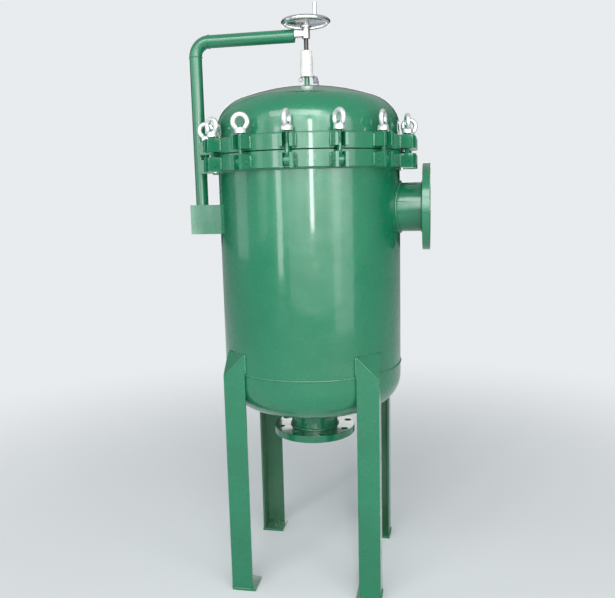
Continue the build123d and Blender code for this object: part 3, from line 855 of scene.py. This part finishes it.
plate_top = baskets_high[2] - BASKET_RIM_THICK
rim_middle = plate_top + BASKET_RIM_THICK / 2
basket = bmesh.new()
bmesh.ops.create_cone(
    basket,
    cap_ends=True,
    segments=BASKET_HOLES_ROUND,
    radius1=BASKET_R - BASKET_SHEET / 2,
    radius2=BASKET_R - BASKET_SHEET / 2,
    depth=plate_top - baskets_low[2],
    matrix=Matrix.Translation((0, 0, (plate_top + baskets_low[2]) / 2)),
)
lid_face = max(basket.faces, key=lambda face: face.calc_center_median().z)
bmesh.ops.delete(basket, geom=[lid_face], context="FACES_ONLY")
tall = [edge for edge in basket.edges if abs(edge.verts[0].co.z - edge.verts[1].co.z) > 0.1]
bmesh.ops.subdivide_edges(basket, edges=tall, cuts=BASKET_ROWS)
punched_top = plate_top - PLAIN_BAND
walls = [face for face in basket.faces if abs(face.normal.z) < 0.1]
holes = [face for face in walls if face.calc_center_median().z < punched_top]
bmesh.ops.inset_individual(basket, faces=holes, thickness=WEB)
bmesh.ops.delete(basket, geom=holes, context="FACES_ONLY")
flare = [edge for edge in basket.edges if all(vert.co.z > plate_top - NEAR for vert in edge.verts)]
flared = bmesh.ops.extrude_edge_only(basket, edges=flare)
lip = [part for part in flared["geom"] if isinstance(part, bmesh.types.BMVert)]
for vert in lip:
    scale = BASKET_RIM_R / math.hypot(vert.co.x, vert.co.y)
    vert.co.x *= scale
    vert.co.y *= scale
for vert in basket.verts:
    if vert.co.z > plate_top - NEAR:
        vert.co.z = rim_middle
bmesh.ops.recalc_face_normals(basket, faces=basket.faces)
basket_piece = five_of(basket, "baskets_punched", stainless, sharp=50)
sheet = basket_piece.modifiers.new("sheet_thickness", "SOLIDIFY")
sheet.thickness = 0.0014
sheet.offset = 0
finish_piece(basket_piece, "baskets")

# Filter bags: needle felt sewn into a tube with a round end and one side seam, slack enough to crease,
# with a snap ring at the mouth. It is matt and off-white with a nap, its fibres drawn far coarser than
# life so that they show.
FIBRE = 0.0008
felt, tree, output = new_material("needle_felt")
place = add(tree, "ShaderNodeTexCoord").outputs["Object"]
fibres = add(tree, "ShaderNodeTexNoise", {"Vector": place, "Scale": 1 / FIBRE, "Detail": 4.0})
clouds = add(tree, "ShaderNodeTexNoise", {"Vector": place, "Scale": 30.0, "Detail": 3.0})
felt_tone = add(
    tree,
    "ShaderNodeMix",
    {0: clouds.outputs["Fac"], 6: colour("#efece3"), 7: colour("#d9d4c6")},
    data_type="RGBA",
)
nap = add(tree, "ShaderNodeBump", {"Height": fibres.outputs["Fac"], "Strength": 0.5, "Distance": 0.0006})
felt_shader = add(
    tree,
    "ShaderNodeBsdfPrincipled",
    {"Base Color": felt_tone.outputs[2], "Roughness": 0.95, "Sheen Weight": 0.5, "Normal": nap.outputs[0]},
)
tree.links.new(felt_shader.outputs[0], output.inputs[0])

BAG_R = 0.0775
BAG_CREASES = 9
CREASE_DEPTH = 0.0022
RUCK_DEPTH = 0.0016
SEAM_RIDGE = 0.0016
SEAM_HALF_ANGLE = 0.03
END_RISE = 0.045
SNAP_RING_R = 0.0835
SNAP_RING_SECTION = 0.0036
FELT_THICK = 0.0022
AROUND = 96
ROWS = 64
mouth = bags_high[2] - 0.004
tube_low = bags_low[2] + END_RISE
tube_length = mouth - tube_low
bag = bmesh.new()
bmesh.ops.create_uvsphere(bag, u_segments=AROUND, v_segments=ROWS, radius=1.0)
pole = max(bag.verts, key=lambda vert: vert.co.z)
bmesh.ops.delete(bag, geom=[pole], context="VERTS")
for vert in bag.verts:
    polar = math.acos(max(-1.0, min(1.0, -vert.co.z)))
    angle = math.atan2(vert.co.y, vert.co.x)
    if polar < math.pi / 2:
        radius = BAG_R * math.sin(polar)
        z = bags_low[2] + END_RISE * (1 - math.cos(polar))
    else:
        radius = BAG_R
        z = tube_low + tube_length * (polar / (math.pi / 2) - 1) * ROWS / (ROWS - 2)
    off_end = (radius / BAG_R) ** 2
    slack = min(1.0, max(0.0, (mouth - z) / 0.06)) * off_end
    across, along = math.cos(angle), math.sin(angle)
    wander = 4 * noise.noise(Vector((across, along, z * 6)))
    crease = 1 - math.sin(BAG_CREASES * angle + wander)
    ruck = 1 + noise.noise(Vector((3 * across, 3 * along, z * 18)))
    ridge = SEAM_RIDGE * math.exp(-((angle / SEAM_HALF_ANGLE) ** 2))
    radius -= slack * (CREASE_DEPTH * crease + RUCK_DEPTH * ruck) - ridge * off_end
    vert.co = Vector((radius * across, radius * along, min(z, mouth)))
collar = bmesh.ops.create_circle(
    bag,
    segments=12,
    radius=SNAP_RING_SECTION,
    matrix=Matrix.Translation((SNAP_RING_R, 0, mouth)) @ Matrix.Rotation(math.pi / 2, 4, "X"),
)
hoop = collar["verts"] + list({edge for vert in collar["verts"] for edge in vert.link_edges})
bmesh.ops.spin(
    bag, geom=hoop, cent=(0, 0, 0), axis=UP, angle=2 * math.pi, steps=AROUND, use_merge=True
)
bmesh.ops.recalc_face_normals(bag, faces=bag.faces)
bag_piece = five_of(bag, "filter_bags_felt", felt, sharp=60)
wall = bag_piece.modifiers.new("felt_thickness", "SOLIDIFY")
wall.thickness = FELT_THICK
finish_piece(bag_piece, "filter_bags")
